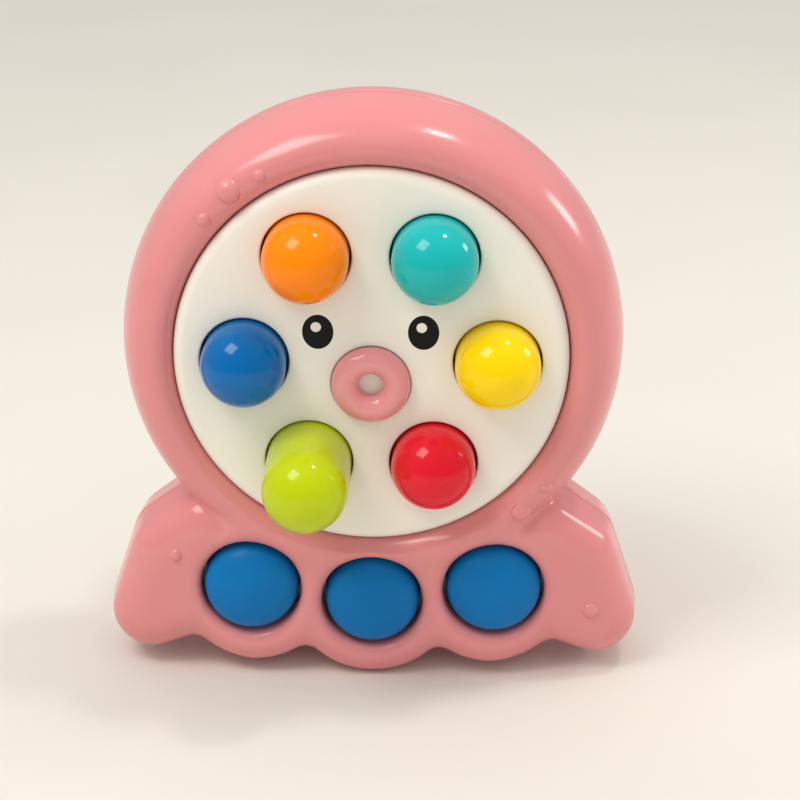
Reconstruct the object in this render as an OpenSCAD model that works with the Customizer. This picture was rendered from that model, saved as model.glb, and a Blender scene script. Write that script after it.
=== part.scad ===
// Push-peg toy in the shape of an octopus. A pink two-part casing holds a white
// face plate on each side. Six round-ended pegs slide right through it, and
// three soft bubbles in the skirt pop through from front to back.
// The toy stands on the floor at z = 0 and faces -Y. The seam between the front
// and the back casing lies in the plane y = 0. Sizes are in millimetres.

/* [Head ring] */
// Radius of the head ring at the seam
head_r = 75; // [72:0.5:80]
// Height of the face centre above the floor
head_z = 105.5; // [102:0.5:110]
// Height of the ring's crest above the seam
crest_d = 22.9; // [22.6:0.1:25]
// Radius of the rounding from the crest down to the plate
crest_round = 5.2; // [4.5:0.1:6]
// Wall thickness of both casings
wall = 2.5; // [2:0.1:3]

/* [Face plates] */
// Radius of the visible plate
plate_r = 58; // [56:0.5:59]
// Height of the plate's face above the seam
face_d = 22.5; // [21.5:0.1:23]
// Thickness of the plate
plate_t = 3; // [2.4:0.1:4]
// Rounding of the plate's edge
plate_round = 3.3; // [2:0.1:4]
// Thickness of the plate's side wall
plate_side_t = 2.5; // [2:0.1:3]
// How far the plate's flange reaches behind the ring's lip
flange_reach = 3; // [2:0.1:3]
// Thickness of the flange
flange_t = 2.4; // [1.6:0.1:3]
// Depth from the plate's face to the flange
flange_drop = 6.1; // [5.5:0.1:7]
// Gap between the plate and the ring's lip
lip_gap = 0.2; // [0.1:0.05:0.4]

/* [Pegs] */
// Radius of a peg at its round end
peg_r = 12.5; // [11.5:0.1:12.8]
// How much wider a peg is at its collar than at its round end
peg_draft = 0.25; // [0:0.05:0.3]
// Length of half a peg, from the middle of the collar to the tip
peg_half = 46.7; // [44:0.1:50]
// Wall thickness of a peg
peg_wall = 2; // [1.4:0.1:2.6]
// How far a peg slides from stop to stop
peg_travel = 17; // [14:0.5:18]
// Gap round a peg in its hole
hole_gap = 0.6; // [0.45:0.05:0.8]
// How far the collar stands out from the hole's radius
collar_step = 1.8; // [1.4:0.1:2]
// Thickness of the whole collar
collar_t = 4; // [3:0.1:5]
// Width of the friction ring in the collar's groove
grip_w = 2; // [1.4:0.1:2.4]
// Depth of the groove below the collar's rim
grip_depth = 1.9; // [1.4:0.1:1.9]
// How far the friction ring stands proud of the collar
grip_proud = 0.3; // [0.2:0.05:0.35]
// Gap between the friction ring and its guide tube
grip_gap = 0.1; // [0.05:0.01:0.2]
// Wall thickness of a guide tube
guide_wall = 1.6; // [1.2:0.1:1.8]
// Gap between the guide tubes and the plate's side wall
guide_margin = 1.6; // [1:0.1:2]
// Length of the spigot that joins the two halves of a peg
spigot_len = 6; // [4:0.5:10]

/* [Face] */
// Distance of each eye from the middle
eye_x = 15.35; // [14:0.05:17]
// Height of the eyes above the face centre
eye_up = 9.25; // [8:0.05:10]
// Half the width of an eye
eye_half_w = 4.55; // [4:0.05:5]
// Half the height of an eye
eye_half_h = 5.3; // [5.05:0.05:6]
// Thickness of an eye inlay
eye_t = 0.8; // [0.6:0.1:1.2]
// Radius of the pale dot in an eye
glint_r = 1.6; // [1.2:0.05:2]
// Thickness of the pale dot
glint_t = 0.4; // [0.3:0.05:0.5]
// Depth of the mouth's centre below the face centre
mouth_down = 6.8; // [6:0.1:8]
// Radius of the mouth ring at the middle of its bead
mouth_r = 7.7; // [7:0.1:8]
// Radius of the mouth ring's bead
mouth_bead_r = 4.2; // [3.6:0.1:4.4]
// Depth of the recess that holds the mouth ring
mouth_recess = 1.2; // [0.8:0.1:1.6]
// Radius of the pins that hold the mouth ring
mouth_pin_r = 1.3; // [1:0.1:1.6]

/* [Skirt] */
// Height of the skirt's front above the seam
skirt_d = 22.3; // [21.6:0.1:22.6]
// Distance between neighbouring bubbles, sideways
bubble_pitch = 37.2; // [36:0.1:39]
// How much higher the outer bubbles sit than the middle one
bubble_rise = 4.1; // [2:0.1:5]
// Radius of a bubble's window
bubble_hole_r = 15.5; // [14.5:0.1:15.6]
// Wall thickness of a window's tunnel
tunnel_wall = 1.5; // [1.2:0.1:1.6]
// Gap between the middle tunnel and the plate's flange
tunnel_gap = 1.8; // [0.3:0.1:2.4]
// Chamfer of a window's edge
window_chamfer = 1; // [0.4:0.1:1.2]
// Radius of the outer lobes
side_lobe_r = 27.5; // [26.5:0.1:29]
// Width of the rounding between the skirt's front and its sides, seen from the front
rim_round_w = 7.9; // [6:0.1:8.5]
// Depth of that rounding
rim_round_d = 10.1; // [6:0.1:12]
// How far the skirt's sides lean in from the seam to that rounding
rim_draft = 0.8; // [0.2:0.1:1.4]
// Depth by which the middle lobe is cut flat to stand on
base_cut = 1.2; // [0.8:0.1:1.6]

/* [Feet] */
// Distance of a foot's wide end from the middle
foot_x = 69.8; // [67:0.1:72]
// Radius of a foot's wide end
foot_r = 12.9; // [12:0.1:15]
// Height of a foot's underside above the floor
foot_lift = 4; // [0:0.1:6]
// Height of a foot's wide end above the seam
foot_d = 19; // [18:0.1:22]
// Distance of a foot's shoulder from the middle
foot_top_x = 65.3; // [62:0.1:67]
// Height of a foot's shoulder above the floor
foot_top_z = 39.6; // [38:0.1:43]
// Radius of a foot's shoulder
foot_top_r = 10.6; // [10.2:0.1:13]
// Height of a foot's shoulder above the seam
foot_top_d = 19.5; // [18:0.1:22]
// Distance from the middle of the place where a foot runs into the ring
foot_join_x = 51.2; // [48:0.1:53]
// Height of that place above the floor
foot_join_z = 50.4; // [47:0.1:53]
// Radius of the foot there
foot_join_r = 10.6; // [10.2:0.1:12]
// Height of the foot's front above the seam there
foot_join_d = 21.4; // [19:0.1:22]
// Radius at which a foot runs into the outer lobe
foot_root_r = 12.1; // [11:0.1:16]

/* [Bubbles] */
// Radius of a bubble at its base
bubble_r = 14.8; // [13.6:0.1:14.9]
// Height of a bubble above the seam
bubble_h = 27.2; // [22:0.1:29]
// Wall thickness of a bubble
bubble_wall = 1.2; // [0.8:0.1:2]
// Height of a bubble's low crown above its shoulder
bubble_dome = 3; // [0:0.1:5]
// Fullness of a bubble's shoulder: 2 is an ellipse, more is squarer
bubble_full = 6; // [4:0.5:12]
// Thickness of the strip that carries the bubbles
strip_t = 1.6; // [1:0.1:2.4]
// Gap round a bubble in the strip
strip_gap = 0.3; // [0.2:0.05:0.4]
// How far the strip reaches past a tunnel's wall
strip_margin = 0.6; // [0.2:0.1:1.5]
// Width of the strip between two bubbles
strip_link_w = 18; // [12:1:22]

/* [Screws] */
// Radius of a screw's thread
screw_r = 1.45; // [1.2:0.05:1.6]
// Length of a screw below its head
screw_len = 17; // [14:0.5:20]
// Radius of a screw's head
screw_head_r = 2.9; // [2.5:0.1:3.1]
// Thickness of a screw's head
screw_head_t = 2; // [1.6:0.1:2.6]
// Height of the head's seat behind the seam
screw_seat_d = 8; // [6:0.5:10]
// Wall of a screw post round the head's well
post_wall = 1.5; // [1.2:0.1:1.6]
// Gap round a screw's head in its well
well_gap = 0.4; // [0.3:0.05:0.6]
// Gap round the thread in its pilot hole
pilot_gap = 0.05; // [0.03:0.01:0.1]
// Gap round the thread where it passes through the back post
clear_gap = 0.3; // [0.2:0.05:0.5]

/* [Hidden] */
$fn = 96;
HULL_FN = 32;
ARC_STEPS = 10;
CUT = 1;
FAR = 300;

PEG_COLOURS = ["yellow", "teal", "orange", "blue", "lime", "red"];
PEG_PAINTS = ["gold", "turquoise", "darkorange", "royalblue", "yellowgreen", "crimson"];
PEGS_OUT = ["lime"];
BUBBLES = ["left", "middle", "right"];
PINK = [0.86, 0.50, 0.50];
PLATE_WHITE = [0.95, 0.93, 0.88];
SILICONE_BLUE = [0.06, 0.33, 0.62];

// Ring and lip
opening_r = plate_r + lip_gap;
crest_r = opening_r + crest_round;
flange_top_d = face_d - flange_drop;
lip_d = flange_top_d + lip_gap;
flange_r = plate_r + flange_reach;

// Pegs and their guides. The collar stops at the step in the guide tube.
stop_gap = 0.05;
hole_r = peg_r + hole_gap;
collar_r = hole_r + collar_step;
grip_r = collar_r + grip_proud;
guide_r = grip_r + grip_gap;
guide_out_r = guide_r + guide_wall;
guide_step_d = (peg_travel + collar_t) / 2 + stop_gap;
peg_circle_r = plate_r - plate_side_t - guide_margin - guide_out_r;
peg_in_r = peg_r - peg_wall;
peg_seat_r = collar_r - grip_depth;
fit_gap = 0.1;

// Skirt: the middle tunnel hangs just below the flange, and its lobe reaches the floor
tunnel_r = bubble_hole_r + tunnel_wall;
middle_z = head_z - flange_r - tunnel_gap - tunnel_r;
lobe_r = middle_z + base_cut;
foot_z = foot_lift + foot_r;
bubble_at = [for (i = [-1:1]) [i * bubble_pitch, middle_z + abs(i) * bubble_rise]];
lobes = [[bubble_at[0], side_lobe_r], [bubble_at[1], lobe_r], [bubble_at[2], side_lobe_r]];

// Screw posts: in the ring between the flange and the outer wall, and in each foot
post_r = screw_head_r + well_gap + post_wall;
ring_post_r = (flange_r + head_r - wall) / 2;
ring_post_angles = [90, 30, 150, -10, 190];
foot_post_at = [[-foot_x, foot_z], [foot_x, foot_z]];
post_at = concat([for (a = ring_post_angles) [ring_post_r * cos(a), head_z + ring_post_r * sin(a)]], foot_post_at);
pilot_spare = 1.5;
slot_w = 0.7;
slot_len = 3.6;
slot_deep = 0.9;

// Raised bumps. On the ring: angle, distance out from the crest, and radius. On the feet:
// side, share of the way up the foot, distance outwards from the foot's middle line, and radius.
ring_bumps = [[137.75, 0.5, 2], [128, 2.1, 3.4], [119.25, 0.6, 1.9], [-37.25, 2.1, 2], [-47, 2.7, 3.1]];
foot_bumps = [[-1, 1.03, -5.4, 2.05], [1, 0.25, -1.7, 2.5]];
bump_slope = 0.42;

// Points on an arc of an ellipse round (cx, cy), from angle a0 to a1
function arc(cx, cy, rx, ry, a0, a1) =
    [for (i = [0:ARC_STEPS]) let (a = a0 + (a1 - a0) * i / ARC_STEPS) [cx + rx * cos(a), cy + ry * sin(a)]];

// A list without its first entry
function tail(list) = [for (i = [1:len(list) - 1]) list[i]];

// Half outline of a bubble of radius r and height h
function bubble_curve(r, h) =
    [for (i = [0:ARC_STEPS]) let (out = 1 - pow(i / ARC_STEPS, 2))
        [r * out, (h - bubble_dome * out * out) * pow(1 - pow(out, bubble_full), 1 / bubble_full)]];

// Where a peg stands on its circle
function peg_place(i) = let (a = i * 360 / len(PEG_COLOURS))
    [peg_circle_r * cos(a), head_z + peg_circle_r * sin(a)];

// Local z counts outwards from the seam, and local y is the height above the floor
module front_side() {
    rotate([90, 0, 0]) children();
}

module back_side() {
    mirror([0, 1, 0]) rotate([90, 0, 0]) children();
}

module at(p) {
    translate([p[0], p[1], 0]) children();
}

module on_head() {
    translate([0, head_z, 0]) children();
}

module at_pegs() {
    for (i = [0:len(PEG_COLOURS) - 1]) at(peg_place(i)) children();
}

// A disc whose side leans in and rounds over to its front, for the lobes and the ends
// of the feet. The inset version is the hollow inside it.
module rim_disc(r, d, inset = 0, below = 0) {
    round_w = rim_round_w - inset;
    round_d = rim_round_d - inset;
    side_r = r - inset - rim_draft;
    rotate_extrude()
        polygon(concat(
            below > 0 ? [[0, -below], [r - inset, -below]] : [[0, 0]],
            [[r - inset, 0]],
            arc(side_r - round_w, d - inset - round_d, round_w, round_d, 0, 90),
            [[0, d - inset]]
        ));
}

module ring_outside() {
    rotate_extrude()
        polygon(concat(
            [[opening_r, 0]],
            arc(crest_r, 0, head_r - crest_r, crest_d, 0, 90),
            tail(arc(crest_r, crest_d - crest_round, crest_round, crest_round, 90, 180))
        ));
}

module ring_inside() {
    round_in = crest_round - wall;
    rotate_extrude()
        polygon(concat(
            [[opening_r - CUT, -CUT], [head_r - wall, -CUT]],
            arc(crest_r, 0, head_r - crest_r - wall, crest_d - wall, 0, 90),
            tail(arc(crest_r, crest_d - crest_round, round_in, round_in, 90, 180)),
            [[opening_r + wall, lip_d], [opening_r - CUT, lip_d]]
        ));
}

// A foot spreads from the outer lobe to a wide end below and to a shoulder that runs into the ring
module foot(side, inset, below = 0) {
    outer_lobe = bubble_at[1 + side];
    hull() {
        for (end = [
            [[side * foot_x, foot_z], foot_r, foot_d],
            [[side * foot_top_x, foot_top_z], foot_top_r, foot_top_d],
            [[side * foot_join_x, foot_join_z], foot_join_r, foot_join_d],
            [outer_lobe, foot_root_r, skirt_d]
        ])
            at(end[0]) rim_disc(end[1], end[2], inset, below, $fn = HULL_FN);
    }
}

// Flat front of the skirt between the lobes and the ring
module skirt_web(inset, below = 0) {
    edge_angle = 50;
    edge = [crest_r * cos(edge_angle), head_z - crest_r * sin(edge_angle)];
    translate([0, 0, -below])
        linear_extrude(skirt_d - inset + below)
            polygon([bubble_at[0], bubble_at[1], bubble_at[2], edge, [-edge[0], edge[1]]]);
}

module skirt_outside() {
    difference() {
        union() {
            for (lobe = lobes) at(lobe[0]) rim_disc(lobe[1], skirt_d);
            skirt_web(0);
            for (side = [-1, 1]) foot(side, 0);
        }
        on_head() translate([0, 0, -CUT]) cylinder(h = FAR, r = crest_r);
    }
}

module skirt_inside() {
    difference() {
        union() {
            for (lobe = lobes) at(lobe[0]) rim_disc(lobe[1], skirt_d, wall, CUT);
            skirt_web(wall, CUT);
            for (side = [-1, 1]) foot(side, wall, CUT);
        }
        on_head() translate([0, 0, -2 * CUT]) cylinder(h = FAR, r = opening_r + wall);
    }
}

module tunnels() {
    for (p = bubble_at) at(p) translate([0, 0, strip_t / 2]) cylinder(h = skirt_d, r = tunnel_r);
}

module windows() {
    for (p = bubble_at) at(p) {
        translate([0, 0, -2 * CUT]) cylinder(h = FAR, r = bubble_hole_r);
        translate([0, 0, skirt_d - window_chamfer])
            cylinder(h = crest_d, r1 = bubble_hole_r, r2 = bubble_hole_r + crest_d);
    }
}

// One half of the casing, with its tunnels and screw posts left standing in the hollow
module shell_half() {
    difference() {
        union() {
            on_head() ring_outside();
            skirt_outside();
        }
        difference() {
            union() {
                on_head() ring_inside();
                skirt_inside();
            }
            tunnels();
            for (p = post_at) at(p) cylinder(h = FAR, r = post_r);
        }
        windows();
        translate([-FAR / 2, -FAR, -FAR / 2]) cube(FAR);
    }
}

// Low round bump on a surface, reaching half a wall below it
module bump(r) {
    proud = bump_slope * r;
    ball_r = r * (1 + bump_slope * bump_slope) / (2 * bump_slope);
    intersection() {
        translate([0, 0, proud - ball_r]) sphere(ball_r);
        translate([0, 0, -wall / 2]) cylinder(h = wall + proud, r = 2 * r);
    }
}

module bumps() {
    on_head() for (b = ring_bumps) {
        ring_d = crest_d * sqrt(1 - pow(b[1] / (head_r - crest_r), 2));
        rotate(b[0]) translate([crest_r + b[1], 0, ring_d]) bump(b[2]);
    }
    slope = (skirt_d - foot_d) / (foot_x - bubble_pitch);
    for (b = foot_bumps) {
        middle_x = foot_x + b[1] * (foot_top_x - foot_x);
        up_z = foot_z + b[1] * (foot_top_z - foot_z);
        top_d = foot_d + b[1] * (foot_top_d - foot_d) - b[2] * slope;
        translate([b[0] * (middle_x + b[2]), up_z, top_d]) bump(b[3]);
    }
}

module front_shell() {
    pilot_deep = screw_len - screw_seat_d + pilot_spare;
    color(PINK) front_side() difference() {
        union() {
            shell_half();
            bumps();
        }
        for (p = post_at) at(p) translate([0, 0, -CUT]) cylinder(h = pilot_deep + CUT, r = screw_r + pilot_gap);
    }
}

module back_shell() {
    color(PINK) back_side() difference() {
        shell_half();
        for (p = post_at) at(p) {
            translate([0, 0, -CUT]) cylinder(h = FAR, r = screw_r + clear_gap);
            translate([0, 0, screw_seat_d]) cylinder(h = FAR, r = screw_head_r + well_gap);
        }
    }
}

module plate_half() {
    difference() {
        union() {
            on_head() rotate_extrude()
                polygon(concat(
                    [[0, face_d - plate_t], [plate_r - plate_side_t, face_d - plate_t],
                     [plate_r - plate_side_t, flange_top_d - flange_t], [flange_r, flange_top_d - flange_t],
                     [flange_r, flange_top_d], [plate_r, flange_top_d]],
                    arc(plate_r - plate_round, face_d - plate_round, plate_round, plate_round, 0, 90),
                    [[0, face_d]]
                ));
            at_pegs() cylinder(h = face_d - plate_t / 2, r = guide_out_r);
        }
        at_pegs() {
            translate([0, 0, -CUT]) cylinder(h = FAR, r = hole_r);
            translate([0, 0, -CUT]) cylinder(h = guide_step_d + CUT, r = guide_r);
        }
    }
}

module mouth_pins(r) {
    pin_count = 3;
    for (i = [0:pin_count - 1]) rotate(90 + i * 360 / pin_count) translate([mouth_r, 0, face_d - plate_t])
        cylinder(h = plate_t, r = r);
}

module at_mouth() {
    on_head() translate([0, -mouth_down, 0]) children();
}

module at_eyes() {
    on_head() for (side = [-1, 1]) translate([side * eye_x, eye_up, 0]) children();
}

module oval(half_w, half_h, t) {
    for (side = [-1, 1]) translate([0, side * (half_h - half_w), 0]) cylinder(h = t, r = half_w);
    translate([-half_w, half_w - half_h, 0]) cube([2 * half_w, 2 * (half_h - half_w), t]);
}

module at_glints() {
    glint_aside = 0.7;
    glint_up = 1.6;
    at_eyes() translate([-glint_aside, glint_up, 0]) children();
}

module front_face_plate() {
    color(PLATE_WHITE) front_side() difference() {
        plate_half();
        at_mouth() {
            translate([0, 0, face_d - mouth_recess]) cylinder(h = FAR, r = mouth_r + mouth_bead_r + lip_gap);
            translate([0, 0, -CUT]) mouth_pins(mouth_pin_r + fit_gap);
        }
        at_eyes() translate([0, 0, face_d - eye_t])
            oval(eye_half_w + fit_gap / 2, eye_half_h + fit_gap / 2, eye_t + CUT);
    }
}

module back_face_plate() {
    color(PLATE_WHITE) back_side() plate_half();
}

module mouth_ring() {
    bead_d = face_d + mouth_bead_r / 10;
    floor_d = face_d - mouth_recess;
    color(PINK) front_side() at_mouth() {
        difference() {
            translate([0, 0, bead_d]) rotate_extrude() translate([mouth_r, 0]) circle(mouth_bead_r);
            translate([-FAR / 2, -FAR / 2, floor_d - FAR]) cube(FAR);
        }
        mouth_pins(mouth_pin_r);
    }
}

module eye_inlays() {
    color("black") front_side() difference() {
        at_eyes() translate([0, 0, face_d - eye_t]) oval(eye_half_w, eye_half_h, eye_t);
        at_glints() translate([0, 0, face_d - glint_t]) cylinder(h = CUT, r = glint_r + fit_gap / 2);
    }
}

module eye_glints() {
    color("white") front_side() at_glints() translate([0, 0, face_d - glint_t]) cylinder(h = glint_t, r = glint_r);
}

// Pegs are modelled round their own axis, with the middle of the collar at 0
function is_out(i) = len([for (c = PEGS_OUT) if (c == PEG_COLOURS[i]) c]) > 0;
function peg_offset(i) = (is_out(i) ? 1 : -1) * peg_travel / 2;

module placed_peg(i) {
    color(PEG_PAINTS[i]) front_side() at(peg_place(i)) translate([0, 0, peg_offset(i)]) children();
}

// Half a peg: shank with its share of the collar, a round end, and a hollow inside
module peg_half_solid() {
    shank = peg_half - peg_r;
    rim_d = grip_w / 2;
    rotate_extrude()
        polygon(concat(
            [[peg_in_r, 0], [peg_seat_r, 0], [peg_seat_r, rim_d], [collar_r, rim_d], [collar_r, collar_t / 2],
             [peg_r + peg_draft, collar_t / 2]],
            arc(0, shank, peg_r, peg_r, 0, 90),
            arc(0, shank, peg_in_r, peg_in_r, 90, 0)
        ));
}

module peg_front(i) {
    placed_peg(i) peg_half_solid();
}

module peg_back(i) {
    spigot_wall = 1.5;
    spigot_r = peg_in_r - fit_gap;
    root_r = peg_in_r + fit_gap;
    placed_peg(i) mirror([0, 0, 1]) {
        peg_half_solid();
        rotate_extrude()
            polygon([
                [spigot_r - spigot_wall, -spigot_len], [spigot_r, -spigot_len], [spigot_r, 0],
                [root_r, 0], [root_r, spigot_len], [spigot_r - spigot_wall, spigot_len]
            ]);
    }
}

module friction_ring(i) {
    placed_peg(i) difference() {
        translate([0, 0, -(grip_w - fit_gap) / 2]) cylinder(h = grip_w - fit_gap, r = grip_r);
        translate([0, 0, -grip_w]) cylinder(h = 2 * grip_w, r = peg_seat_r + fit_gap / 2);
    }
}

module bubble_strip() {
    color(SILICONE_BLUE) front_side() translate([0, 0, -strip_t / 2]) difference() {
        union() {
            for (p = bubble_at) at(p) cylinder(h = strip_t, r = tunnel_r + strip_margin);
            for (side = [-1, 1]) at(bubble_at[1]) rotate(atan2(bubble_rise, side * bubble_pitch))
                translate([0, -strip_link_w / 2, 0]) cube([norm([bubble_pitch, bubble_rise]), strip_link_w, strip_t]);
        }
        for (p = bubble_at) at(p) translate([0, 0, -CUT]) cylinder(h = strip_t + 2 * CUT, r = bubble_r + strip_gap);
    }
}

module bubble(i) {
    color(SILICONE_BLUE) front_side() at(bubble_at[i]) rotate_extrude()
        polygon(concat(
            [[bubble_r - bubble_wall, -strip_t / 2], [bubble_r, -strip_t / 2]],
            bubble_curve(bubble_r, bubble_h),
            [for (j = [ARC_STEPS:-1:0]) bubble_curve(bubble_r - bubble_wall, bubble_h - bubble_wall)[j]]
        ));
}

module case_screws() {
    color("silver") back_side() for (p = post_at) at(p) difference() {
        union() {
            translate([0, 0, screw_seat_d - screw_len]) cylinder(h = screw_len, r = screw_r);
            translate([0, 0, screw_seat_d]) cylinder(h = screw_head_t, r = screw_head_r);
        }
        for (turn = [0, 90]) rotate(turn)
            translate([-slot_len / 2, -slot_w / 2, screw_seat_d + screw_head_t - slot_deep])
                cube([slot_len, slot_w, CUT]);
    }
}

front_shell();
back_shell();
front_face_plate();
back_face_plate();
mouth_ring();
eye_inlays();
eye_glints();
for (i = [0:len(PEG_COLOURS) - 1]) {
    peg_front(i);
    peg_back(i);
    friction_ring(i);
}
bubble_strip();
for (i = [0:len(BUBBLES) - 1])
    bubble(i);
case_screws();
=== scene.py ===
"""Push-peg toy in the shape of an octopus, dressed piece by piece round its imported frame."""
import math

import bmesh
import bpy
import numpy as np
from mathutils import Matrix, Vector


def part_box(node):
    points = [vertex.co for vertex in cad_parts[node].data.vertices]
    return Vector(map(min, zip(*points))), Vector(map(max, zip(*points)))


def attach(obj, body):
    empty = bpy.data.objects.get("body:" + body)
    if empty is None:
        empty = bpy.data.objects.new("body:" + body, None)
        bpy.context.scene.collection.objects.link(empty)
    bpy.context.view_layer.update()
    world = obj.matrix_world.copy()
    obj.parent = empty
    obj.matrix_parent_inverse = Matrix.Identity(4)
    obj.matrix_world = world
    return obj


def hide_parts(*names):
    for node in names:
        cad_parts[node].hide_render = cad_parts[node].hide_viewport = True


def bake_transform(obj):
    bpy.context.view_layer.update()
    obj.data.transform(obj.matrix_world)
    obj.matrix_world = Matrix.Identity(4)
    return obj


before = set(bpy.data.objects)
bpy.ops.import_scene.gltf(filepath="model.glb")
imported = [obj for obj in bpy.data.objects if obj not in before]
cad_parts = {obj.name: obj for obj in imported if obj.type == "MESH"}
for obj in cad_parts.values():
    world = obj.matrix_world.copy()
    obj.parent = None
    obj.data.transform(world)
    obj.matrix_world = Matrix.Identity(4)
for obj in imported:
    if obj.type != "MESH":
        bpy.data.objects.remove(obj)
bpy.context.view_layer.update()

# Casing halves.
# Two hollow mouldings of pink ABS, near mirror images that seven screws hold together at a seam.
# Each is one shot from a polished mould: a fat ring that runs into a skirt with three lobes and two feet.
MM = 0.001


def box_mm(node):
    """Lowest and highest corner of a node in millimetres."""
    low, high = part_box(node)
    return np.array(low) / MM, np.array(high) / MM


def middle_of(low, high):
    """Middle of a box as x and height."""
    return (low[0] + high[0]) / 2, (low[2] + high[2]) / 2


# Ring, in millimetres. Depths count outwards from the seam on either half, and heights up from the floor
shell_low, shell_high = box_mm("back_shell")
plate_low, plate_high = box_mm("front_face_plate")
face_z = (plate_low[2] + plate_high[2]) / 2
face_d = -plate_low[1]
flange_r = (plate_high[0] - plate_low[0]) / 2
head_r = shell_high[2] - face_z
crest_d = shell_high[1]
crest_round = 5.2
opening_r = 58.2
crest_r = opening_r + crest_round
wall = 2.5
lip_d = 16.6
flange_room = 0.4
seam_half = 0.14
seam_soft = 1.2

# Windows for the bubbles, and the skirt round them. A foot's corner is given as (x, z, radius)
BUBBLES = ("left", "middle", "right")
bubble_boxes = {side: box_mm("bubble_" + side) for side in BUBBLES}
bubble_places = {side: middle_of(*box) for side, box in bubble_boxes.items()}
window_r = 15.5
window_soft = 5.0
lip_steep = 1.5
window_wall = 1.2
tunnel_r = 17.0
skirt_d = 22.3
skirt_slope = 0.101
rim_wide = 7.9
rim_deep = 10.1
rim_power = 2.6
rim_draft = 0.8
base_cut = 1.2
lobe_r = bubble_places["middle"][1] + base_cut
side_lobe_r = 27.5
lobe_blend = 5.0
foot_low = (69.8, 16.9, 12.9)
foot_high = (62.3, 36.6, 13.8)
foot_join = (51.8, 46.0, 12.3)
foot_root_r = 12.1
foot_rim_wide = 11.5
foot_rim_power = 2.3
foot_blend = 3.0
ring_blend_front = 4.5
ring_blend_side = 1.2
floor_soft = 1.2

# Screw posts, with wells in the back half
post_r = 4.8
well_r = 3.3
well_soft = 1.6
seat_d = 8.0
ring_post_r = 66.75
ring_post_turns = [math.radians(angle) for angle in (90, 30, 150, -10, 190)]
ring_posts = [(ring_post_r * math.cos(a), face_z + ring_post_r * math.sin(a)) for a in ring_post_turns]
posts = ring_posts + [(side * foot_low[0], foot_low[1]) for side in (-1, 1)]

# Raised bumps: on the ring an angle, a distance out from the crest and a radius,
# on the feet a place and a radius
ring_bumps = ((137.75, 0.5, 2.0), (128, 2.1, 3.4), (119.25, 0.6, 1.9), (-37.25, 2.1, 2.0), (-47, 2.7, 3.1))
foot_bumps = ((-59.8, 40.3, 2.05), (67.0, 22.6, 2.5))
bump_slope = 0.54
bump_reach = 1.12
bump_sides = 40


def soft_min(a, b, k):
    """The smaller of two distances, blended where they differ by less than k."""
    share = np.clip(0.5 + 0.5 * (b - a) / k, 0, 1)
    return b + (a - b) * share - k * share * (1 - share)


def soft_max(a, b, k):
    """The larger of two distances, blended where they differ by less than k."""
    return -soft_min(-a, -b, k)


def from_ellipse(x, y, half_x, half_y, power=2.0):
    """Distance from an ellipse, close to true near its edge. A higher power makes it squarer."""
    out_x, out_y = np.abs(x) / half_x, np.abs(y) / half_y
    near = np.maximum(out_x ** power + out_y ** power, 1e-12) ** (1 / power)
    steep = np.hypot(out_x ** (power - 1) / half_x, out_y ** (power - 1) / half_y) * near ** (1 - power)
    return np.where(near < 1e-4, -np.minimum(half_x, half_y), (near - 1) / np.maximum(steep, 1e-6))


def from_taper(x, z, first, second):
    """Distance in the plane from a bar with round ends, each end given as (x, z, radius)."""
    run_x, run_z = second[0] - first[0], second[1] - first[1]
    run = run_x ** 2 + run_z ** 2
    across = np.abs((x - first[0]) * run_z - (z - first[1]) * run_x) / run
    along = ((x - first[0]) * run_x + (z - first[1]) * run_z) / run
    narrow = first[2] - second[2]
    lean = math.sqrt(run - narrow ** 2)
    side = lean * along - narrow * across
    square = across ** 2 + along ** 2
    low_end = np.sqrt(run * square) - first[2]
    high_end = np.sqrt(np.maximum(run * (square + 1 - 2 * along), 0)) - second[2]
    flank = lean * across + narrow * along - first[2]
    return np.where(side < 0, low_end, np.where(side > lean, high_end, flank))


def from_sides(x, z, corners):
    """Distance in the plane from the sides of a convex field with these corners, below zero inside it."""
    sides = []
    for start, end in zip(corners, corners[1:] + corners[:1]):
        run_x, run_z = end[0] - start[0], end[1] - start[1]
        sides.append(((x - start[0]) * run_z - (z - start[1]) * run_x) / math.hypot(run_x, run_z))
    return np.maximum.reduce(sides)


def from_places(x, z, places):
    """Distance in the plane from the nearest of some places."""
    return np.minimum.reduce([np.hypot(x - place_x, z - place_z) for place_x, place_z in places])


def skirt_outline(x, z):
    """Distance in the plane from the edge of the skirt."""
    x = np.abs(x)
    side_x, side_z = bubble_places["right"]
    middle = np.hypot(x, z - bubble_places["middle"][1]) - lobe_r
    side = np.hypot(x - side_x, z - side_z) - side_lobe_r
    corners = [(side_x, side_z, foot_root_r), foot_low, foot_high, foot_join]
    spans = zip(corners, corners[1:] + corners[:1])
    foot = np.minimum.reduce([from_taper(x, z, *span) for span in spans])
    core = from_sides(x, z, corners)
    foot = np.where(core < 0, np.minimum(foot, core - min(corner[2] for corner in corners)), foot)
    return soft_min(soft_min(middle, side, lobe_blend), foot, foot_blend)


def skirt_level(x):
    """Height of the skirt's front above the seam, which falls a little towards the feet."""
    return skirt_d - skirt_slope * np.maximum(np.abs(x) - bubble_places["right"][0], 0)


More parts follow.
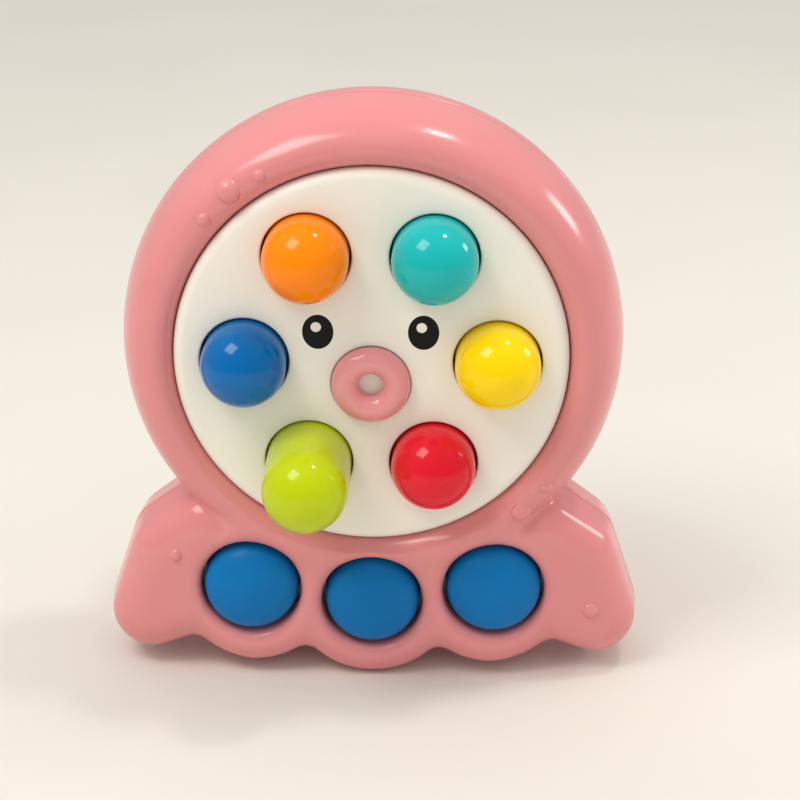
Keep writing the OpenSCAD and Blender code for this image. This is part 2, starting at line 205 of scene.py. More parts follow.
def body_distance(x, d, z):
    """Distance from the outside of a casing half, before any opening is cut."""
    across = np.hypot(x, z - face_z) - crest_r
    outer = from_ellipse(np.maximum(across, 0), d, head_r - crest_r, crest_d)
    shoulder_d = crest_d - crest_round
    shoulder = np.where(d > shoulder_d, np.hypot(across, d - shoulder_d), -across) - crest_round
    ring = np.where(across > 0, outer, shoulder)
    rim_start = skirt_level(x) - rim_deep
    side = skirt_outline(x, z) + rim_draft * np.clip(d / rim_start, 0, 1)
    reach = (bubble_places["right"][0], foot_join[0])
    wide = np.interp(np.abs(x), reach, (rim_wide, foot_rim_wide))
    power = np.interp(np.abs(x), reach, (rim_power, foot_rim_power))
    front = from_ellipse(np.maximum(side + wide, 0), np.maximum(d - rim_start, 0), wide, rim_deep, power)
    skirt = np.maximum(np.where(d < rim_start, side, front), -across)
    return soft_min(ring, skirt, np.interp(np.abs(x), reach, (ring_blend_front, ring_blend_side)))


def casing_distance(x, d, z, is_front):
    """Distance from one hollow casing half, with d counted outwards from the seam."""
    body = body_distance(x, d, z)
    window = from_places(x, z, bubble_places.values())
    post = from_places(x, z, posts)
    half = np.maximum(body, soft_max(lip_steep * body, window_r - window, window_soft))
    hollow = np.maximum.reduce([body + wall, half + window_wall, tunnel_r - window, post_r - post])
    if not is_front:
        half = soft_max(half, np.minimum(well_r - post, d - seat_d), well_soft)
    half = soft_max(half, -z, floor_soft)
    behind_lip = np.maximum(np.hypot(x, z - face_z) - flange_r - flange_room, d - lip_d)
    return soft_max(np.maximum.reduce([half, -hollow, -behind_lip]), seam_half - d, seam_soft)


def level_faces(field):
    """Points and quads of the zero level in a grid of distances, with one point to a cell."""
    sizes = np.array(field.shape)
    owners, points, quads = [], [], []
    for axis in range(3):
        others = [a for a in range(3) if a != axis]
        at = np.argwhere(np.diff((field < 0).astype(np.int8), axis=axis) != 0)
        at = at[np.all((at[:, others] > 0) & (at[:, others] < sizes[others] - 1), axis=1)]
        beyond = at.copy()
        beyond[:, axis] += 1
        near = field[tuple(at.T)]
        far = field[tuple(beyond.T)]
        point = at.astype(float)
        point[:, axis] += near / (near - far)
        ring = []
        for first, second in ((0, 0), (-1, 0), (-1, -1), (0, -1)):
            cell = at.copy()
            cell[:, others[0]] += first
            cell[:, others[1]] += second
            ring.append(np.ravel_multi_index(cell.T, sizes - 1))
        ring = np.stack(ring, 1)
        turned_over = (near < 0) if axis == 1 else (near >= 0)
        ring[turned_over] = ring[turned_over][:, ::-1]
        quads.append(ring)
        owners.append(ring.T.ravel())
        points.append(np.tile(point, (4, 1)))
    points = np.concatenate(points)
    used, spot = np.unique(np.concatenate(owners), return_inverse=True)
    count = np.bincount(spot)
    means = np.stack([np.bincount(spot, points[:, i]) / count for i in range(3)], 1)
    return means, np.searchsorted(used, np.concatenate(quads))


def skin_of(distance, low, high, step):
    """Points and quads of a skin round the zero level of a distance, drawn in to lie on it."""
    axes = [np.arange(a, b, step) for a, b in zip(low, high)]
    points, quads = level_faces(distance(*np.meshgrid(*axes, indexing="ij")))
    points = np.array(low) + points * step
    passes = 4
    probe = 0.05
    least_steep = 0.25
    most_move = 0.4 * step
    for _ in range(passes):
        slope = np.stack([
            distance(*(points + probe * way).T) - distance(*(points - probe * way).T) for way in np.eye(3)
        ], 1) / (2 * probe)
        steep = np.maximum((slope ** 2).sum(1), least_steep)
        move = np.clip(distance(*points.T) / steep, -most_move, most_move)
        points -= slope * move[:, None]
    return points, quads


def link_piece(name, mesh, sharp_degrees=40):
    """New piece with this mesh, whose edges stay sharp above an angle."""
    mesh.set_sharp_from_angle(angle=math.radians(sharp_degrees))
    piece = bpy.data.objects.new(name, mesh)
    bpy.context.scene.collection.objects.link(piece)
    return piece


def skin_piece(name, points, faces):
    """New smooth piece from points in millimetres and lists of corners."""
    mesh = bpy.data.meshes.new(name)
    mesh.from_pydata((np.asarray(points) * MM).tolist(), [], np.asarray(faces).tolist())
    mesh.polygons.foreach_set("use_smooth", [True] * len(mesh.polygons))
    return link_piece(name, mesh)


def arc_points(middle_r, middle_d, half_r, half_d, start, end, count):
    """Points (radius, depth) on part of an ellipse, from one angle to another."""
    turns = np.radians(np.linspace(start, end, count + 1))
    return [(middle_r + half_r * math.cos(a), middle_d + half_d * math.sin(a)) for a in turns]


def turn_outline(mesh, outline, place, facing, steps=96, stretch=(1, 1)):
    """Turn an outline of (radius, depth) points about the line through place that runs from front to back.

    Returns the rings of corners, one for each point of the outline."""
    turns = [2 * math.pi * i / steps for i in range(steps)]
    rings = []
    for radius, depth in outline:
        around = turns if radius > 1e-6 else turns[:1]
        rings.append([
            mesh.verts.new((
                (place[0] + stretch[0] * radius * math.cos(a)) * MM,
                facing * depth * MM,
                (place[1] + stretch[1] * radius * math.sin(a)) * MM,
            )) for a in around
        ])
    for ring, after in zip(rings, rings[1:]):
        for i in range(steps):
            j = (i + 1) % steps
            near = [ring[i % len(ring)], ring[j % len(ring)]]
            far = [after[j % len(after)], after[i % len(after)]]
            mesh.faces.new(list(dict.fromkeys(near + far))).smooth = True
    return rings


def bump_places():
    """Place on the front half, radius and outward direction of each bump, as x, depth and height."""
    places = [((x, float(skirt_level(x)), z), r, (0, 1, 0)) for x, z, r in foot_bumps]
    for angle, out, r in ring_bumps:
        turn = math.radians(angle)
        ring_x, ring_z = math.cos(turn), math.sin(turn)
        level = crest_d * math.sqrt(1 - (out / (head_r - crest_r)) ** 2)
        lean, rise = out / (head_r - crest_r) ** 2, level / crest_d ** 2
        place = ((crest_r + out) * ring_x, level, face_z + (crest_r + out) * ring_z)
        places.append((place, r, (lean * ring_x, rise, lean * ring_z)))
    return places


def add_bumps(piece):
    """Stand the low round bumps on the front half, each a closed cap rooted in the wall."""
    mesh = bmesh.new()
    mesh.from_mesh(piece.data)
    for (x, level, z), r, (way_x, way_d, way_z) in bump_places():
        ball = r * (1 + bump_slope ** 2) / (2 * bump_slope)
        start = math.degrees(math.acos(bump_reach * r / ball))
        cap = arc_points(0, level + bump_slope * r - ball, ball, ball, start, 90, count=10)
        closed_cap = [(0, cap[0][1])] + cap[:-1] + [(0, cap[-1][1])]
        rings = turn_outline(mesh, closed_cap, (x, z), -1, steps=bump_sides)
        corners = [corner for ring in rings for corner in ring]
        lean = Vector((0, -1, 0)).rotation_difference(Vector((way_x, -way_d, way_z)))
        bmesh.ops.rotate(mesh, cent=Vector((x, -level, z)) * MM, matrix=lean.to_matrix(), verts=corners)
        faces = list({face for corner in corners for face in corner.link_faces})
        bmesh.ops.recalc_face_normals(mesh, faces=faces)
    mesh.to_mesh(piece.data)
    mesh.free()


def casing_half(name, is_front):
    """One casing half as a skin round its distances, with the bumps on the front one."""
    step = 0.8
    margin = 2.5
    low = (shell_low[0] - margin, -margin / 2, -margin)
    high = (shell_high[0] + margin, crest_d + margin, shell_high[2] + margin)
    points, quads = skin_of(lambda x, d, z: casing_distance(x, d, z, is_front), low, high, step)
    points[:, 1] = np.maximum(points[:, 1], seam_half)
    if is_front:
        points[:, 1] *= -1
        quads = quads[:, ::-1]
    piece = skin_piece(name, points, quads)
    if is_front:
        add_bumps(piece)
    return piece


def paint(red, green, blue):
    """Colour given from 0 to 255 as the eye sees it, for a shader."""
    shares = [c / 255 for c in (red, green, blue)]
    return [c / 12.92 if c <= 0.04045 else ((c + 0.055) / 1.055) ** 2.4 for c in shares] + [1.0]


def add_node(tree, kind, inputs=None, **settings):
    """New shader node. An input given as a socket is linked, and any other value is set."""
    made = tree.nodes.new(kind)
    for key, value in settings.items():
        setattr(made, key, value)
    for key, value in (inputs or {}).items():
        if isinstance(value, bpy.types.NodeSocket):
            tree.links.new(value, made.inputs[key])
        else:
            made.inputs[key].default_value = value
    return made


def mix_colours(tree, share, colours):
    """Colour that goes from the first of two colours to the second with a share."""
    mixed = add_node(tree, "ShaderNodeMix", {0: share, 6: colours[0], 7: colours[1]}, data_type="RGBA")
    return mixed.outputs[2]


def new_group(name, inputs, outputs):
    """Empty shader node group with named number inputs and outputs."""
    tree = bpy.data.node_groups.new(name, "ShaderNodeTree")
    for key, value in inputs.items():
        socket = tree.interface.new_socket(name=key, in_out="INPUT", socket_type="NodeSocketFloat")
        socket.default_value = value
    for key in outputs:
        tree.interface.new_socket(name=key, in_out="OUTPUT", socket_type="NodeSocketFloat")
    return tree, tree.nodes.new("NodeGroupInput").outputs, tree.nodes.new("NodeGroupOutput").inputs


def moulded_group():
    """Slow drift of tone, and the faint orange peel that a mould leaves on a surface."""
    scales = {"Drift Scale": 30, "Peel Scale": 900}
    tree, given, put = new_group("moulded_surface", scales, ("Tone", "Peel"))
    place = add_node(tree, "ShaderNodeTexCoord").outputs["Object"]
    drift = add_node(tree, "ShaderNodeTexNoise",
                     {"Vector": place, "Scale": given["Drift Scale"], "Detail": 3.0, "Distortion": 0.6})
    peel = add_node(tree, "ShaderNodeTexNoise",
                    {"Vector": place, "Scale": given["Peel Scale"], "Detail": 2.0})
    tree.links.new(drift.outputs["Fac"], put["Tone"])
    tree.links.new(peel.outputs["Fac"], put["Peel"])
    return tree


def scuff_group():
    """Hairline scuffs in two directions, gathered in patches where hands and floors rub."""
    scales = {"Length Scale": 25, "Width Scale": 900}
    tree, given, put = new_group("handling_scuffs", scales, ("Scuff",))
    place = add_node(tree, "ShaderNodeTexCoord").outputs["Object"]
    long, wide = given["Length Scale"], given["Width Scale"]
    drawn_out = add_node(tree, "ShaderNodeCombineXYZ", {"X": long, "Y": wide, "Z": wide}).outputs[0]
    marks = []
    for turn in (0.5, -0.9):
        turned = add_node(tree, "ShaderNodeMapping", {"Vector": place, "Rotation": (0, turn, turn)})
        drawn = add_node(tree, "ShaderNodeVectorMath", {0: turned.outputs[0], 1: drawn_out},
                         operation="MULTIPLY")
        lines = add_node(tree, "ShaderNodeTexNoise",
                         {"Vector": drawn.outputs[0], "Scale": 1.0, "Detail": 1.0}).outputs["Fac"]
        mark = add_node(tree, "ShaderNodeMapRange", {"Value": lines, "From Min": 0.66, "From Max": 0.74})
        marks.append(mark.outputs[0])
    both = add_node(tree, "ShaderNodeMath", {0: marks[0], 1: marks[1]}, operation="MAXIMUM").outputs[0]
    patch = add_node(tree, "ShaderNodeTexNoise", {"Vector": place, "Scale": 38.0, "Detail": 2.0})
    rubbed = add_node(tree, "ShaderNodeMapRange",
                      {"Value": patch.outputs["Fac"], "From Min": 0.46, "From Max": 0.64})
    held = add_node(tree, "ShaderNodeMath", {0: both, 1: rubbed.outputs[0]}, operation="MULTIPLY")
    tree.links.new(held.outputs[0], put["Scuff"])
    return tree


moulded = moulded_group()
scuffs = scuff_group()


def moulded_material(name, colours, gloss, drift=30.0, peel=900.0, peel_mm=0.004, scuff_rise=0.15, **fixed):
    """Moulding whose colour and roughness drift between two values each.

    Scuffs raise its roughness by up to scuff_rise, and fixed sets other sockets of the shader."""
    material = bpy.data.materials.new(name)
    material.use_nodes = True
    tree = material.node_tree
    surface = tree.nodes["Principled BSDF"]
    mould = add_node(tree, "ShaderNodeGroup", {"Drift Scale": drift, "Peel Scale": peel}, node_tree=moulded)
    scuff = add_node(tree, "ShaderNodeGroup", node_tree=scuffs)
    drift_span = {"Value": mould.outputs["Tone"], "From Min": 0.25, "From Max": 0.75}
    tone = add_node(tree, "ShaderNodeMapRange", drift_span, interpolation_type="SMOOTHSTEP")
    tree.links.new(mix_colours(tree, tone.outputs[0], colours), surface.inputs["Base Color"])
    worn = add_node(tree, "ShaderNodeMapRange", {**drift_span, "To Min": gloss[0], "To Max": gloss[1]},
                    interpolation_type="SMOOTHSTEP")
    rough = add_node(tree, "ShaderNodeMath", {0: scuff.outputs["Scuff"], 1: scuff_rise, 2: worn.outputs[0]},
                     operation="MULTIPLY_ADD")
    tree.links.new(rough.outputs[0], surface.inputs["Roughness"])
    bump = add_node(tree, "ShaderNodeBump",
                    {"Height": mould.outputs["Peel"], "Strength": 1.0, "Distance": peel_mm * MM})
    tree.links.new(bump.outputs[0], surface.inputs["Normal"])
    for key, value in fixed.items():
        surface.inputs[key.replace("_", " ").title().replace("Ior", "IOR")].default_value = value
    return material


def dress(piece, material, body, slot, *nodes):
    """Give a piece its material, its body and the nodes that it stands for. Its slot is not used."""
    piece.data.materials.append(material)
    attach(piece, body)
    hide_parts(*nodes)


casing_pink = moulded_material(
    "casing_pink_abs", (paint(224, 141, 142), paint(221, 137, 139)), gloss=(0.17, 0.21),
    peel=420.0, peel_mm=0.004, scuff_rise=0.02, ior=1.5)
dress(casing_half("front_casing", True), casing_pink, "casing", "casing_pink", "front_shell")
dress(casing_half("back_casing", False), casing_pink, "casing", "casing_pink", "back_shell")

# Face plates.
# Warm white discs of moulded ABS, one on each side, clamped by their flanges behind the ring's lip.
# Six guide tubes behind each disc carry the pegs and meet at the seam. The front disc seats the mouth.
PEG_NAMES = ("yellow", "teal", "orange", "blue", "lime", "red")
peg_boxes = {name: box_mm("peg_" + name + "_front") for name in PEG_NAMES}
peg_places = {name: middle_of(*box) for name, box in peg_boxes.items()}
plate_r = 58.0
plate_t = 3.0
plate_round = 3.3
plate_side_t = 2.5
plate_sides = 192
flange_drop = 6.1
flange_t = 2.4
hole_r = 13.1
hole_round = 0.7
guide_r = 15.3
guide_wall = 1.6
guide_step_d = 10.55
plate_seam_gap = 0.02
mouth_low, mouth_high = box_mm("mouth_ring")
mouth_place = middle_of(mouth_low, mouth_high)
mouth_trim = 0.3
mouth_out_r = (mouth_high[0] - mouth_low[0]) / 2 - mouth_trim
mouth_seat_gap = 0.25
mouth_seat_edge = 0.3
mouth_seat_deep = 1.2


def turned_piece(name, mesh, sharp_degrees=40):
    """New piece from a bmesh of turned outlines, with its faces pointing outwards."""
    bmesh.ops.recalc_face_normals(mesh, faces=mesh.faces[:])
    data = bpy.data.meshes.new(name)
    mesh.to_mesh(data)
    mesh.free()
    return link_piece(name, data, sharp_degrees)


def fill_between(mesh, loops):
    """Close the flat field between an outer loop and the loops inside it."""
    edges = [mesh.edges.get((loop[i - 1], loop[i])) for loop in loops for i in range(len(loop))]
    made = bmesh.ops.triangle_fill(mesh, use_beauty=True, use_dissolve=False, edges=edges)
    for item in made["geom"]:
        if isinstance(item, bmesh.types.BMFace):
            item.smooth = False


def face_plate(name, facing, has_mouth):
    """One plate: its rounded rim and flange, the six guide tubes and the flat fields between them."""
    mesh = bmesh.new()
    under_d = face_d - plate_t
    flange_top = face_d - flange_drop
    inside_r = plate_r - plate_side_t
    rim = arc_points(plate_r - plate_round, face_d - plate_round, plate_round, plate_round, 90, 0, count=8)
    rim += [(plate_r, flange_top), (flange_r, flange_top), (flange_r, flange_top - flange_t)]
    rim += [(inside_r, flange_top - flange_t), (inside_r, under_d)]
    rim_rings = turn_outline(mesh, rim, (0, face_z), facing, steps=plate_sides)
    guide_out_r = guide_r + guide_wall
    guide = [(guide_out_r, under_d), (guide_out_r, plate_seam_gap), (guide_r, plate_seam_gap)]
    guide += [(guide_r, guide_step_d), (hole_r, guide_step_d)]
    guide += arc_points(hole_r + hole_round, face_d - hole_round, hole_round, hole_round, 180, 90, count=5)
    guides = [turn_outline(mesh, guide, place, facing) for place in peg_places.values()]
    face_loops = [rim_rings[0]] + [rings[-1] for rings in guides]
    if has_mouth:
        seat_r = mouth_out_r + mouth_seat_gap
        edge = mouth_seat_edge
        seat = arc_points(seat_r + edge, face_d - edge, edge, edge, 90, 180, count=3)
        seat += [(seat_r, face_d - mouth_seat_deep), (0, face_d - mouth_seat_deep)]
        face_loops.append(turn_outline(mesh, seat, mouth_place, facing)[0])
    fill_between(mesh, face_loops)
    fill_between(mesh, [rim_rings[-1]] + [rings[0] for rings in guides])
    return turned_piece(name, mesh)


plate_white = moulded_material(
    "plate_warm_white_abs", (paint(242, 239, 228), paint(239, 235, 223)), gloss=(0.32, 0.38),
    peel=700.0, peel_mm=0.003, scuff_rise=0.05, ior=1.48)
dress(face_plate("front_plate", -1, True), plate_white, "casing", "plate_white", "front_face_plate")
dress(face_plate("back_plate", 1, False), plate_white, "casing", "plate_white", "back_face_plate")

# Mouth.
# A fat ring of the casing's pink ABS, moulded by itself with a higher polish.
# It is pressed into a round seat in the front plate, and three pins on its underside hold it there.
mouth_bead_r = 4.05
mouth_r = mouth_out_r - mouth_bead_r
mouth_bead_d = -mouth_low[1] - mouth_bead_r
mouth_floor_gap = 0.02
mouth_floor_d = face_d - mouth_seat_deep + mouth_floor_gap
mouth_turn = math.degrees(math.asin((mouth_bead_d - mouth_floor_d) / mouth_bead_r))


def join_ends(mesh):
    """Merge the corners where a turned outline comes back to its start."""
    bmesh.ops.remove_doubles(mesh, verts=mesh.verts[:], dist=1e-7)


mouth_mesh = bmesh.new()
bead = arc_points(mouth_r, mouth_bead_d, mouth_bead_r, mouth_bead_r, -mouth_turn, 180 + mouth_turn, count=40)
turn_outline(mouth_mesh, bead + bead[:1], mouth_place, -1)
join_ends(mouth_mesh)
mouth_pink = moulded_material(
    "mouth_pink_abs", (paint(231, 151, 154), paint(227, 145, 148)), gloss=(0.12, 0.15),
    peel=420.0, peel_mm=0.003, scuff_rise=0.02, ior=1.5)
dress(turned_piece("mouth_bead", mouth_mesh), mouth_pink, "casing", "mouth_pink", "mouth_ring")

# Eyes.
# Two black ovals on the front plate, each with a pale dot high on its left side, put on as thick ink.
# The ink lies a hair proud of the plate and has a soft rounded edge.
eye_low, eye_high = box_mm("eye_inlays")
eye_half_w = 4.55
eye_half_h = 5.3
eye_out = (eye_high[0] - eye_low[0]) / 2 - eye_half_w
eye_z = (eye_low[2] + eye_high[2]) / 2
dot_r = 1.52
dot_shift = (-0.55, 1.5)
ink_t = 0.06
ink_sink = 0.3
ink_edge = 0.15
ink_sides = 64


def printed_ovals(name, places, half_w, half_h, top_d):
    """Thin ovals of ink whose upper edge is rounded, all in one piece."""
    mesh = bmesh.new()
    outline = [(0, face_d - ink_sink), (1, face_d - ink_sink), (1, top_d - ink_t)]
    outline += arc_points(1 - ink_edge, top_d - ink_t, ink_edge, ink_t, 15, 90, count=5) + [(0, top_d)]
    for place in places:
        turn_outline(mesh, outline, place, -1, steps=ink_sides, stretch=(half_w, half_h))
    return turned_piece(name, mesh, sharp_degrees=50)


eye_places = [(side * eye_out, eye_z) for side in (-1, 1)]
dot_places = [(x + dot_shift[0], z + dot_shift[1]) for x, z in eye_places]
eye_black = moulded_material(
    "eye_black_ink", (paint(10, 9, 8), paint(14, 13, 11)), gloss=(0.30, 0.36),
    peel_mm=0.003, scuff_rise=0.05, specular_ior_level=0.18)
eye_white = moulded_material(
    "eye_white_ink", (paint(244, 240, 232), paint(238, 234, 226)), gloss=(0.28, 0.34), peel_mm=0.002)
eyes = printed_ovals("eye_ovals", eye_places, eye_half_w, eye_half_h, face_d + ink_t)
dots = printed_ovals("eye_dots", dot_places, dot_r, dot_r, face_d + 2 * ink_t)
dress(eyes, eye_black, "casing", "eye_black", "eye_inlays")
dress(dots, eye_white, "casing", "eye_white", "eye_glints")

# Pegs.
# Six hollow round-ended posts of glossy ABS, each moulded in two halves that plug together over a spigot.
# A collar stops the peg at both plates, and a silicone ring in the collar's groove holds it by friction.
PEG_PAINTS = {
    "yellow": (paint(255, 217, 0), paint(253, 211, 0)),
    "teal": (paint(28, 184, 184), paint(24, 178, 178)),
    "orange": (paint(255, 138, 4), paint(253, 132, 2)),
    "blue": (paint(3, 106, 176), paint(2, 100, 169)),
    "lime": (paint(190, 208, 14), paint(185, 203, 10)),
    "red": (paint(228, 30, 48), paint(222, 24, 42)),
}
peg_r = 12.5
peg_draft = 0.25
peg_half = 46.7
peg_wall = 2.0
spigot_len = 6.0
spigot_wall = 1.5
spigot_gap = 0.1
collar_t = 4.0
collar_edge = 0.4
groove_w = 2.0
groove_deep = 1.9
ring_proud = 0.3
ring_gap = 0.05
ring_edge = 0.5


def peg_outline(collar_r, is_back):
    """Half outline of half a peg, from inside its crown round its open end to the outside of its crown."""
    inside_r = peg_r - peg_wall
    shank = peg_half - peg_r
    seat_r = collar_r - groove_deep
    points = arc_points(0, shank, inside_r, inside_r, 90, 0, count=12)
    if is_back:
        spigot_r = inside_r - spigot_gap
        points += [(inside_r, spigot_len), (spigot_r - spigot_wall, spigot_len)]
        points += [(spigot_r - spigot_wall, -spigot_len), (spigot_r, -spigot_len), (spigot_r, 0)]
    else:
        points += [(inside_r, 0)]
    points += [(seat_r, 0), (seat_r, groove_w / 2), (collar_r, groove_w / 2)]
    edge = collar_edge
    points += arc_points(collar_r - edge, collar_t / 2 - edge, edge, edge, 0, 90, count=4)
    points += [(peg_r + peg_draft, collar_t / 2)]
    return points + arc_points(0, shank, peg_r, peg_r, 0, 90, count=28)


def friction_outline(collar_r):
    """Closed outline of a friction ring, flat in its groove and rounded where it rubs."""
    inner = collar_r - groove_deep + ring_gap
    bulge = collar_r + ring_proud - ring_edge
    half_w = groove_w / 2 - ring_gap
    band = [(inner, -half_w), (inner, half_w), (bulge, half_w)]
    return band + arc_points(bulge, 0, ring_edge, half_w, 90, -90, count=8) + [(inner, -half_w)]


def peg_piece(name, outline, place, facing, middle_d, is_closed=False):
    """One turned piece of a peg, moved along to where the middle of the peg stands."""
    mesh = bmesh.new()
    turn_outline(mesh, [(r, d - facing * middle_d) for r, d in outline], place, facing)
    if is_closed:
        join_ends(mesh)
    return turned_piece(name, mesh)


ring_grey = moulded_material(
    "friction_ring_silicone", (paint(196, 196, 194), paint(186, 187, 186)), gloss=(0.5, 0.6),
    peel_mm=0.006, subsurface_weight=0.1)
for name in PEG_NAMES:
    low, high = peg_boxes[name]
    collar_r = (high[0] - low[0]) / 2
    middle_d = -low[1] - peg_half
    gloss_abs = moulded_material(
        "peg_" + name + "_abs", PEG_PAINTS[name], gloss=(0.09, 0.12),
        peel=260.0, peel_mm=0.002, scuff_rise=0.06, ior=1.5, specular_ior_level=0.28)
    place = peg_places[name]
    front = peg_piece(name + "_peg_front", peg_outline(collar_r, False), place, -1, middle_d)
    back = peg_piece(name + "_peg_back", peg_outline(collar_r, True), place, 1, middle_d)
    ring = peg_piece(name + "_friction_ring", friction_outline(collar_r), place, -1, middle_d, is_closed=True)
    body = "peg_" + name
    dress(front, gloss_abs, body, body, body + "_front")
    dress(back, gloss_abs, body, body, body + "_back")
    dress(ring, ring_grey, body, "ring_grey", "friction_ring_" + name)

# Bubbles.
# Three soft domes of satin blue silicone, moulded in one with a flat strip clamped in the casing's seam.
# A push turns each dome inside out through its tunnel, where it stays until it is pushed from behind.
bubble_r = (bubble_boxes["right"][1][0] - bubble_boxes["right"][0][0]) / 2
bubble_wall = 1.2
bubble_full = 8.0
bubble_dome = 3.6
crown_sink = 2.0
strip_t = 1.6
strip_reach = 17.6
strip_link = 9.0
strip_blend = 2.0
strip_gap = 0.3
strip_soft = 0.9
strip_step = 0.5
strip_margin = 2


def bubble_curve(radius, height):
    """Half outline of a straight-sided dome with a low crown, from its foot to its top in even steps."""
    steps = 44
    samples = 400
    share = 1 - np.linspace(0, 1, samples) ** 2
    up = (height - bubble_dome * share ** 2) * (1 - share ** bubble_full) ** (1 / bubble_full)
    run = np.concatenate([[0], np.cumsum(np.hypot(radius * np.diff(share), np.diff(up)))])
    even = np.linspace(0, run[-1], steps + 1)
    return list(zip(radius * np.interp(even, run, share), np.interp(even, run, up)))


def strip_distance(x, d, z):
    """Distance from the flat strip that carries the bubbles."""
    holes = from_places(x, z, bubble_places.values())
    side_x, side_z = bubble_places["right"]
    middle_z = bubble_places["middle"][1]
    link = from_taper(np.abs(x), z, (0, middle_z, strip_link), (side_x, side_z, strip_link))
    plan = soft_min(holes - strip_reach, link, strip_blend)
    plan = np.maximum(plan, bubble_r + strip_gap - holes)
    return soft_max(plan, np.abs(d) - strip_t / 2, strip_soft)


bubble_blue = moulded_material(
    "bubble_blue_silicone", (paint(2, 116, 184), paint(2, 110, 178)), gloss=(0.36, 0.42),
    drift=60.0, peel=1400.0, peel_mm=0.01, scuff_rise=0.06, ior=1.42,
    specular_ior_level=0.2, subsurface_weight=0.08)
for side in BUBBLES:
    crown_d = -bubble_boxes[side][0][1] - crown_sink
    x, z = bubble_places[side]
    outside = bubble_curve(bubble_r, crown_d)
    inside = bubble_curve(bubble_r - bubble_wall, crown_d - bubble_wall)
    rim = [(bubble_r - bubble_wall, -strip_t / 2), (bubble_r, -strip_t / 2)]
    dome = bmesh.new()
    turn_outline(dome, inside[::-1] + rim + outside, (x, z), -1)
    bubble = turned_piece(side + "_bubble", dome)
    bubble.data.materials.append(bubble_blue)
    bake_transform(bubble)
    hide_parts("bubble_" + side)

strip_low, strip_high = box_mm("bubble_strip")
grid_low = (strip_low[0] - strip_margin, -strip_t, strip_low[2] - strip_margin)
grid_high = (strip_high[0] + strip_margin, strip_t, strip_high[2] + strip_margin)
strip = skin_piece("silicone_strip", *skin_of(strip_distance, grid_low, grid_high, strip_step))
dress(strip, bubble_blue, "casing", "bubble_blue", "bubble_strip")

# Screws.
# Seven plated steel self-tapping screws with cross slots, sunk in wells in the back casing.
# They pull the two halves together and bite into posts in the front casing.


def plated_steel():
    """Bright plating that drifts a little in tone, with short scuffs from the driver."""
    material = bpy.data.materials.new("screw_plated_steel")
    material.use_nodes = True
    tree = material.node_tree
    surface = tree.nodes["Principled BSDF"]
    scuff = add_node(tree, "ShaderNodeGroup", {"Length Scale": 120, "Width Scale": 2600}, node_tree=scuffs)
    mould = add_node(tree, "ShaderNodeGroup", {"Drift Scale": 350}, node_tree=moulded)
    tint = mix_colours(tree, mould.outputs["Tone"], (paint(196, 197, 200), paint(172, 171, 170)))
    tree.links.new(tint, surface.inputs["Base Color"])
    rough = add_node(tree, "ShaderNodeMath", {0: scuff.outputs["Scuff"], 1: 0.25, 2: 0.3},
                     operation="MULTIPLY_ADD")
    tree.links.new(rough.outputs[0], surface.inputs["Roughness"])
    surface.inputs["Metallic"].default_value = 1.0
    return material


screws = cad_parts["case_screws"]
screws.data.materials.clear()
screws.data.materials.append(plated_steel())

# Floor, light and camera.
# A plain pale floor, soft daylight from the upper left, a small lamp overhead and a weak one on the right.
# The camera stands where the photograph was taken from.
floor_half = 4.0
aim = Vector((0, 0, 0.09))


def pale_floor():
    """Wide plain floor, which is not part of the toy."""
    mesh = bpy.data.meshes.new("floor")
    corners = [(x * floor_half, y * floor_half, 0) for x, y in ((-1, -1), (1, -1), (1, 1), (-1, 1))]
    mesh.from_pydata(corners, [], [(0, 1, 2, 3)])
    floor = bpy.data.objects.new("floor", mesh)
    bpy.context.scene.collection.objects.link(floor)
    mesh.materials.append(moulded_material(
        "floor_pale_mat", (paint(226, 222, 214), paint(222, 218, 210)), gloss=(0.75, 0.85),
        drift=4.0, peel=160.0, peel_mm=0.05))


def soft_lamp(name, way, distance, size, watts, colour):
    """Square lamp that faces the toy from a direction."""
    data = bpy.data.lights.new(name, "AREA")
    data.size = size
    data.energy = watts
    data.color = colour
    lamp = bpy.data.objects.new(name, data)
    way = Vector(way).normalized()
    lamp.location = aim + way * distance
    lamp.rotation_euler = way.to_track_quat("Z", "Y").to_euler()
    bpy.context.scene.collection.objects.link(lamp)


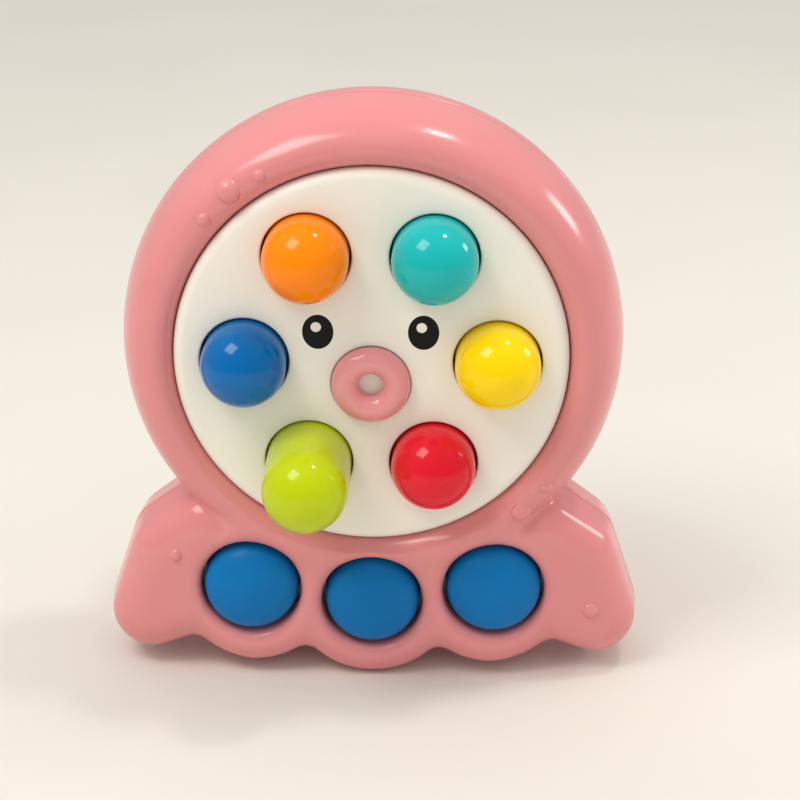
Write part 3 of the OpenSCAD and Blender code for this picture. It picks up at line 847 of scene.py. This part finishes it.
def soft_world():
    """Soft room light, brighter overhead than near the floor. Gloss mirrors a dim room behind the camera."""
    world = bpy.data.worlds.new("room")
    bpy.context.scene.world = world
    world.use_nodes = True
    tree = world.node_tree
    way = add_node(tree, "ShaderNodeTexCoord").outputs["Generated"]
    parts = add_node(tree, "ShaderNodeSeparateXYZ", {0: way}).outputs
    overhead = {"Value": parts["Z"], "From Min": -0.2, "From Max": 0.9, "To Min": 0.70, "To Max": 0.86}
    share = add_node(tree, "ShaderNodeMapRange", overhead).outputs[0]
    behind = {"Value": parts["Y"], "From Min": -0.9, "From Max": 0.1, "To Min": 0.2, "To Max": 0.6}
    dim = add_node(tree, "ShaderNodeMapRange", behind).outputs[0]
    mirrored = add_node(tree, "ShaderNodeLightPath").outputs["Is Glossy Ray"]
    held = add_node(tree, "ShaderNodeMapRange", {"Value": mirrored, "To Min": 1.0, "To Max": dim}).outputs[0]
    strength = add_node(tree, "ShaderNodeMath", {0: share, 1: held}, operation="MULTIPLY")
    tree.links.new(strength.outputs[0], tree.nodes["Background"].inputs["Strength"])
    tree.nodes["Background"].inputs["Color"].default_value = (1.0, 0.985, 0.96, 1)


pale_floor()
soft_world()
soft_lamp("window", (-0.454, -0.34, 0.82), distance=1.0, size=0.42, watts=4.1, colour=(1.0, 0.97, 0.93))
soft_lamp("ceiling", (0.336, 0.06, 0.94), distance=1.2, size=0.12, watts=2.4, colour=(1.0, 0.95, 0.88))
soft_lamp("side", (0.88, 0.25, 0.40), distance=1.0, size=0.22, watts=1.6, colour=(1.0, 0.96, 0.92))

camera_at = Vector((0.02092, -0.5795, 0.32625))
camera_right = Vector((0.99974, 0.02285, 0.00149))
camera_up = Vector((-0.01018, 0.38518, 0.92279))
camera_data = bpy.data.cameras.new("camera")
camera_data.sensor_width = 36.0
camera_data.lens = 92.565
camera_data.clip_start = 0.01
camera = bpy.data.objects.new("camera", camera_data)
bpy.context.scene.collection.objects.link(camera)
camera_turn = Matrix((camera_right, camera_up, camera_right.cross(camera_up))).transposed()
camera.matrix_world = Matrix.Translation(camera_at) @ camera_turn.to_4x4()
bpy.context.scene.camera = camera
bpy.context.scene.view_settings.view_transform = "Standard"
